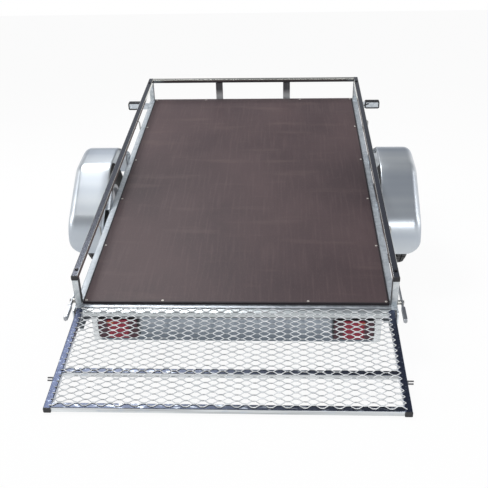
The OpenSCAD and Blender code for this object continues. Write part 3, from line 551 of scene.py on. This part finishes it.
slot_places = [place @ Matrix.Rotation(SLOT_LEAN, 4, "Y") for place in both_sides(SLOT_X, MARKER_Y, SLOT_Z)]
slots = set_in(bmesh.new(), rounded_slab(SLOT_SIZE, SLOT_ROUND), slot_places)
add_piece("marker_slots", slots, bed, "bed", black_plastic)
rims = set_in(bmesh.new(), marker_rim(), both_sides(MARKER_X, MARKER_Y - RIM_SIZE[1] / 2, MARKER_Z))
add_piece("marker_rims", rims, bed, "bed", black_plastic)

# The tyres are moulded rubber: a carcass with bulging walls, and a tread of five ribs that cross
# grooves split into blocks. The rims are pressed steel, painted silver, on zinc-plated hubs.
TYRE_R = 0.250
RIM_R = 0.127
TREAD_DEPTH = 0.007
TREAD_STEPS = 60
RIB_PLACES = (-0.044, -0.022, 0.0, 0.022, 0.044)
RIB_W = 0.017
BLOCK_LEAN = 0.12
BLOCK_EDGE = 0.0012
EDGE_BLOCK_SHARE = 0.72
BLOCK_SHARE = 0.86
# The ends of a flat block stand this much further out than its middle.
BLOCK_RISE = 0.0003
CROWN_R = 0.16
GROOVE_X = (0.056, 0.035, 0.015)
# Points of a side wall: half the tyre's width there, and the height above the rim.
WALL = ((0.046, 0.0), (0.052, 0.004), (0.0535, 0.012), (0.060, 0.022), (0.0675, 0.040),
        (0.0700, 0.058), (0.0692, 0.076), (0.0662, 0.092), (0.0620, 0.101))
rubber = Finish("tyre_rubber", (44, 44, 45), 0.62)
rubber.relief(rubber.noise(500.0), 0.0003, 0.5)


def crown(x):
    """The radius of the tread's face, which falls off to both sides."""
    return TYRE_R - BLOCK_RISE - x * x / (2 * CROWN_R)


def carcass():
    """The tyre's skin: a cut over one wall, the grooves' floor and the other wall, spun about X."""
    half = [(x, RIM_R + up) for x, up in WALL] + [(x, crown(x) - TREAD_DEPTH) for x in GROOVE_X]
    cut = half + [(-x, r) for x, r in reversed(half)]
    shape = bmesh.new()
    line = [shape.verts.new((x, 0, r)) for x, r in cut]
    edges = [shape.edges.new(pair) for pair in zip(line, line[1:])]
    bmesh.ops.spin(shape, geom=line + edges, cent=(0, 0, 0), axis=(1, 0, 0), dvec=(0, 0, 0),
                   angle=2 * math.pi, steps=96, use_merge=True)
    bmesh.ops.recalc_face_normals(shape, faces=shape.faces)
    return shape


def tread_block(x, length, lean):
    """One tread block: a leaning slab with softened top edges, standing at the top of the tyre."""
    shape = bmesh.new()
    bmesh.ops.create_cube(shape, size=1)
    bmesh.ops.scale(shape, verts=shape.verts, vec=(RIB_W, length, TREAD_DEPTH))
    top = [e for e in shape.edges if all(v.co.z > 0 for v in e.verts)]
    bmesh.ops.bevel(shape, geom=top, offset=BLOCK_EDGE, offset_type="OFFSET", segments=1, profile=0.5,
                    affect="EDGES", material=-1)
    place = (Matrix.Translation((x, 0, crown(x) - TREAD_DEPTH / 2)) @ Matrix.Rotation(lean, 4, "Z")
             @ Matrix.Rotation(math.asin(x / CROWN_R), 4, "Y"))
    bmesh.ops.transform(shape, matrix=place, verts=shape.verts)
    return shape


def tyre_shape():
    """The carcass with its ribs: each rib starts half a block after the one beside it."""
    whole = carcass()
    pitch = 2 * math.pi * TYRE_R / TREAD_STEPS
    for i, x in enumerate(RIB_PLACES):
        share = EDGE_BLOCK_SHARE if abs(x) == RIB_PLACES[-1] else BLOCK_SHARE
        block = tread_block(x, pitch * share, BLOCK_LEAN if i % 2 else -BLOCK_LEAN)
        turns = [2 * math.pi * (n + i * 0.5) / TREAD_STEPS for n in range(TREAD_STEPS)]
        set_in(whole, block, [Matrix.Rotation(turn, 4, "X") for turn in turns])
    return whole


for side in ("left", "right"):
    wheel = Matrix.Translation(joints["wheel_spin_" + side]["pos_m"])
    add_piece("tyre_tread_" + side, tyre_shape(), wheel, "wheel_" + side, rubber,
              ("tyre_" + side,))
rim_silver = Finish("rim_silver", (190, 192, 196), 0.35, 0.7)
dress(rim_silver, "rim_silver", "rim_left", "rim_right")
dress(plated, "bright_steel", "hub_left", "hub_right")

# The fenders are pressed from sheet and painted satin silver: a flat top, two slopes and two hanging
# ends, with a round outer shoulder, a short skirt, round lower corners and a rolled inner edge.
FENDER_X = 0.625
FENDER_W = 0.16999
FENDER_TOP = 0.127
FENDER_FLAT = 0.200
FENDER_SLOPE = 0.323
FENDER_DROP = 0.132
SLOPE_ANGLE = math.radians(29.3)
DROP_ANGLE = math.radians(77.8)
BEND_R = 0.130
SHOULDER_R = 0.040
SHOULDER_STEPS = 10
SKIRT_D = 0.045
ROLL_R = 0.006
ROLL_TURN = math.pi * 1.3
ROLL_STEPS = 8
FLAT_X = (0.045, 0.090)
CORNER_R = 0.055
CORNER_TURN = math.radians(70)
CORNER_STEPS = 8
SHEET_T = 0.0025
MERGE = 1e-6
silver = Finish("fender_silver", (186, 190, 196), 0.38, 0.9, bed)
# Painted reflection: broad lighter and darker bands run across the fender, drawn out along its width.
silver.tint(silver.noise(1.0, (0.4, 7, 7), 2.0), 0.35, 0.65, (172, 180, 190), (206, 211, 214))
silver.gloss(silver.noise(3.0, (40, 1, 1)), 0.30, 0.38)


def only(kinds, geometry):
    """The members of some kinds among what an operator gives back."""
    return [g for g in geometry if isinstance(g, kinds)]


LINE_KINDS = (bmesh.types.BMVert, bmesh.types.BMEdge)


class Pressing:
    """A sheet that grows rearwards from a cut across it, heading further down at each bend."""

    def __init__(self, cut):
        self.shape = bmesh.new()
        line = [self.shape.verts.new((x, 0, z)) for x, z in cut]
        self.end = line + [self.shape.edges.new(pair) for pair in zip(line, line[1:])]
        self.heading = 0.0

    def draw(self, distance):
        """The end is drawn straight on, and its new points are given back."""
        grown = bmesh.ops.extrude_edge_only(self.shape, edges=only(bmesh.types.BMEdge, self.end))
        self.end = only(LINE_KINDS, grown["geom"])
        points = only(bmesh.types.BMVert, self.end)
        step = (0, -distance * math.cos(self.heading), -distance * math.sin(self.heading))
        bmesh.ops.translate(self.shape, verts=points, vec=step)
        return points

    def bend(self, angle, steps):
        """The end is bent down, about an axis that lies the bend's radius under its highest point."""
        rear, down = math.sin(self.heading), math.cos(self.heading)
        top = max(only(bmesh.types.BMVert, self.end), key=lambda v: v.co.z * down - v.co.y * rear)
        centre = top.co + Vector((0, BEND_R * rear, -BEND_R * down))
        grown = bmesh.ops.spin(self.shape, geom=self.end, cent=centre, axis=(1, 0, 0), dvec=(0, 0, 0),
                               angle=angle, steps=steps, use_merge=False)
        self.end = only(LINE_KINDS, grown["geom_last"])
        self.heading += angle


def fender_half():
    """The rear half, from the fender's middle: flat, bend, slope, bend, drop and lower corner."""
    arc = [math.pi / 2 * i / SHOULDER_STEPS for i in range(SHOULDER_STEPS + 1)]
    shoulder_x = FENDER_W - SHOULDER_R
    shoulder = [(shoulder_x + SHOULDER_R * math.sin(a), SHOULDER_R * (math.cos(a) - 1)) for a in arc]
    arc = [ROLL_TURN * i / ROLL_STEPS for i in range(ROLL_STEPS, -1, -1)]
    roll = [(ROLL_R * (1 - math.sin(a)), ROLL_R * (math.cos(a) - 1)) for a in arc]
    half = Pressing(roll + [(x, 0.0) for x in FLAT_X] + shoulder + [(FENDER_W, -SKIRT_D)])
    bend_1 = BEND_R * math.tan(SLOPE_ANGLE / 2)
    bend_2 = BEND_R * math.tan((DROP_ANGLE - SLOPE_ANGLE) / 2)
    half.draw(FENDER_FLAT / 2 - bend_1)
    half.bend(SLOPE_ANGLE, 8)
    half.draw((FENDER_SLOPE - bend_1 - bend_2) / 2)
    half.draw((FENDER_SLOPE - bend_1 - bend_2) / 2)
    half.bend(DROP_ANGLE - SLOPE_ANGLE, 10)
    half.draw(FENDER_DROP - bend_2 - CORNER_R * math.sin(CORNER_TURN))
    inset = 0.0
    for i in range(CORNER_STEPS):
        before, after = CORNER_TURN * i / CORNER_STEPS, CORNER_TURN * (i + 1) / CORNER_STEPS
        points = half.draw(CORNER_R * (math.sin(after) - math.sin(before)))
        step = CORNER_R * (math.cos(before) - math.cos(after))
        outer = [v for v in points if v.co.x > shoulder_x - inset - MERGE]
        bmesh.ops.translate(half.shape, verts=outer, vec=(-step, 0, 0))
        inset += step
    return half.shape


def fender_shape():
    """The rear half and its mirror image, joined and given the sheet's thickness."""
    whole = fender_half()
    set_in(whole, whole.copy(), [Matrix.Scale(-1, 4, (0, 1, 0))])
    bmesh.ops.remove_doubles(whole, verts=whole.verts, dist=MERGE)
    bmesh.ops.recalc_face_normals(whole, faces=whole.faces)
    bmesh.ops.solidify(whole, geom=whole.faces[:], thickness=SHEET_T)
    return whole


AS_DRAWN = Matrix.Identity(4)
MIRRORED = Matrix.Scale(-1, 4, (1, 0, 0))
for side, way in (("left", MIRRORED), ("right", AS_DRAWN)):
    place = way @ Matrix.Translation((FENDER_X, AXLE_Y, FENDER_TOP))
    sheet = set_in(bmesh.new(), fender_shape(), [place])
    add_piece("fender_sheet_" + side, sheet, bed, "bed", silver, ("fender_" + side,))

# The ramp is a ladder of zinc-coated tube that turns about pins in the bed's ears: side tubes, and
# cross tubes at the hinge, the middle and the end. Short pins for the latches stand out at its sides.
RAMP_L = 0.505
RAMP_W = 1.190
RAIL_H = 0.020
PLUG_T = 0.003
RAMP_END = RAMP_L + PLUG_T
hinge = Vector(joints["ramp_hinge"]["pos_m"])
ramp_slope = math.asin(hinge.z / math.hypot(RAMP_END, RAIL_H / 2)) - math.atan(RAIL_H / 2 / RAMP_END)
ramp = Matrix.Translation(hinge) @ Matrix.Rotation(ramp_slope, 4, "X")
TOP_REFLECTION_BAND = (0.0015, 0.0005)
TUBE_SHEEN = (0.26, 0.42)
# Painted light: the cross tubes take a lighter zinc than the side tubes, for the light on their rear faces.
cross_zinc = tube_zinc("ramp_zinc", ramp, "X", (238, 242, 244), TUBE_SHEEN)
# Painted reflection: the tubes' tops are darkened, as a mirror of the dark ceiling.
cross_zinc.blend_tint(cross_zinc.apart("Z", RAIL_H / 2), *TOP_REFLECTION_BAND, (66, 71, 84))
cross_zinc.blend_tint(cross_zinc.noise(90.0, (0.3, 1, 1)), 0.56, 0.74, (190, 198, 208))
# Painted shade: the hinge tube is duller where the rear beam shades it.
cross_zinc.blend_tint(cross_zinc.apart("Y", 0.0), 0.06, 0.04, (186, 192, 194))
dress(cross_zinc, "zinc_tube", "ramp_cross_tubes")
side_zinc = tube_zinc("ramp_side_zinc", ramp, "Y", (196, 202, 214), TUBE_SHEEN)
side_zinc.blend_tint(side_zinc.apart("Z", RAIL_H / 2), *TOP_REFLECTION_BAND, (60, 66, 84))
side_zinc.blend_tint(side_zinc.noise(90.0), 0.58, 0.78, (140, 150, 166))
dress(side_zinc, "zinc_tube", "ramp_side_tube_left", "ramp_side_tube_right")

SIDE_PIN_Y = -0.362
PRONG_R = 0.0028
# Each bar's radius, length, and place along the ramp and up: the hinge pin, a side pin's two prongs
# and their collar.
PIN_BARS = ((0.006, 0.012, (0.0, 0.0)), (PRONG_R, 0.022, (SIDE_PIN_Y + 0.006, 0.001)),
            (PRONG_R, 0.020, (SIDE_PIN_Y - 0.005, -0.001)), (0.008, 0.003, (SIDE_PIN_Y, 0.0)))
pin_steel = Finish("dark_pins", (110, 110, 112), 0.35, 1.0)


def round_bar(radius, length, place):
    """A round bar that starts at the ramp's side and runs outwards, with a softened end."""
    shape = bmesh.new()
    bmesh.ops.create_cone(shape, cap_ends=True, segments=20, radius1=radius, radius2=radius, depth=length)
    end = [e for e in shape.edges if all(v.co.z > 0 for v in e.verts)]
    bmesh.ops.bevel(shape, geom=end, offset=radius * 0.3, offset_type="OFFSET", segments=2, profile=0.5,
                    affect="EDGES", material=-1)
    turn = Matrix.Translation((RAMP_W / 2 + length / 2, *place)) @ Matrix.Rotation(math.pi / 2, 4, "Y")
    bmesh.ops.transform(shape, matrix=turn, verts=shape.verts)
    return shape


pins = bmesh.new()
for radius, length, place in PIN_BARS:
    set_in(pins, round_bar(radius, length, place), [AS_DRAWN, MIRRORED])
add_piece("ramp_side_pins", pins, ramp, "ramp", pin_steel, ("ramp_pins",))

# The ramp's tread is expanded metal: slit sheet, pulled open into rows of zigzag strands that meet
# at their bonds. The strands' faces are galvanised bright; their sides are given painted shade.
MESH_X = 0.055
MESH_Y = 0.028
STRAND_W = 0.0034
STRAND_T = 0.0022
STRAND_LEAN = math.radians(28)
BOND_L = 0.012
PANEL_W = 1.175
MESH_START = 0.009
MESH_Z = RAIL_H / 2 + 0.0016
SHADED_SIDE_BELOW = 0.6


def mesh_strand(columns, way):
    """One strand: a rectangle that leans to the rear is drawn along bonds and slants."""
    shape = bmesh.new()
    bmesh.ops.create_grid(shape, x_segments=1, y_segments=1, size=0.5)
    turn = Matrix.Rotation(STRAND_LEAN, 4, "X") @ Matrix.Rotation(math.pi / 2, 4, "Y")
    size = Matrix.Diagonal((STRAND_T, STRAND_W, 1, 1))
    bmesh.ops.transform(shape, matrix=turn @ size, verts=shape.verts)
    slant = MESH_X / 2 - BOND_L
    rise = way * (MESH_Y / 2 - STRAND_W / 2)
    start = end = shape.faces[:]
    for along, up in ((BOND_L, 0), (slant, rise), (BOND_L, 0), (slant, -rise)) * columns:
        grown = bmesh.ops.extrude_face_region(shape, geom=end)
        if end is not start:
            bmesh.ops.delete(shape, geom=end, context="FACES")
        bmesh.ops.translate(shape, verts=only(bmesh.types.BMVert, grown["geom"]), vec=(along, up, 0))
        end = only(bmesh.types.BMFace, grown["geom"])
    bmesh.ops.recalc_face_normals(shape, faces=shape.faces)
    # Faces that stand up from the sheet take the second, darker material, as painted shade on the strands' sides.
    for face in shape.faces:
        face.material_index = int(abs(face.normal.z) < SHADED_SIDE_BELOW)
    return shape


columns = round(PANEL_W / MESH_X)
rows = round(RAMP_L / MESH_Y)
net = bmesh.new()
for way, back in ((1, MESH_Y), (-1, 0.0)):
    row_places = [Matrix.Translation((-columns * MESH_X / 2, MESH_START - back - row * MESH_Y, MESH_Z))
                  for row in range(rows)]
    set_in(net, mesh_strand(columns, way), row_places)
mesh_zinc = galvanised("mesh_zinc", ramp, (240, 242, 243), (216, 220, 222))
mesh_zinc.shader.inputs["Metallic"].default_value = 0.45
# Painted shade: a darker copy of the zinc for the strands' sides.
mesh_zinc_side_shade = galvanised("mesh_zinc_side_shade", ramp, (116, 121, 127), (84, 89, 96))
net_piece = add_piece("ramp_mesh", net, ramp, "ramp", mesh_zinc,
                      ("ramp_mesh_upper", "ramp_mesh_lower"))
net_piece.data.materials.append(mesh_zinc_side_shade.material)

# A latch at each rear corner holds the ramp up: a plate that hooks round the ramp's side pin, with a
# hanging lever. Both are plated steel.
latch_steel = Finish("latch_steel", (160, 163, 168), 0.32, 1.0)
latch_steel.gloss(latch_steel.noise(90.0), 0.25, 0.42)
dress(latch_steel, "bright_steel", "latch_left", "latch_right")

# The drawbar is square tube, galvanised like the frame, and turns about a bolt under the bed.
# A cast ball coupling with a plastic handle closes its front end, which here lies on the ground.
BAR_REACH = 1.950
BALL_DROP = 0.022
pivot = Vector(joints["bed_tip"]["pos_m"])
ball = Vector(mounts["ball_socket"]["pos_m"])
bar_slope = math.atan2(pivot.z - ball.z, ball.y - pivot.y) - math.atan2(BALL_DROP, BAR_REACH)
bar = Matrix.Translation(pivot) @ Matrix.Rotation(-bar_slope, 4, "X")
bar_zinc = galvanised("drawbar_zinc", bar)
dress(bar_zinc, "galvanised_steel", "drawbar")
casting = Finish("coupling_casting", (172, 176, 180), 0.42, 0.9, bar)
casting.relief(casting.noise(300.0), 0.0003, 0.5)
casting.gloss(casting.noise(60.0), 0.34, 0.5)
dress(casting, "zinc_casting", "coupling")
dress(black_plastic, "handle_plastic", "coupling_handle")
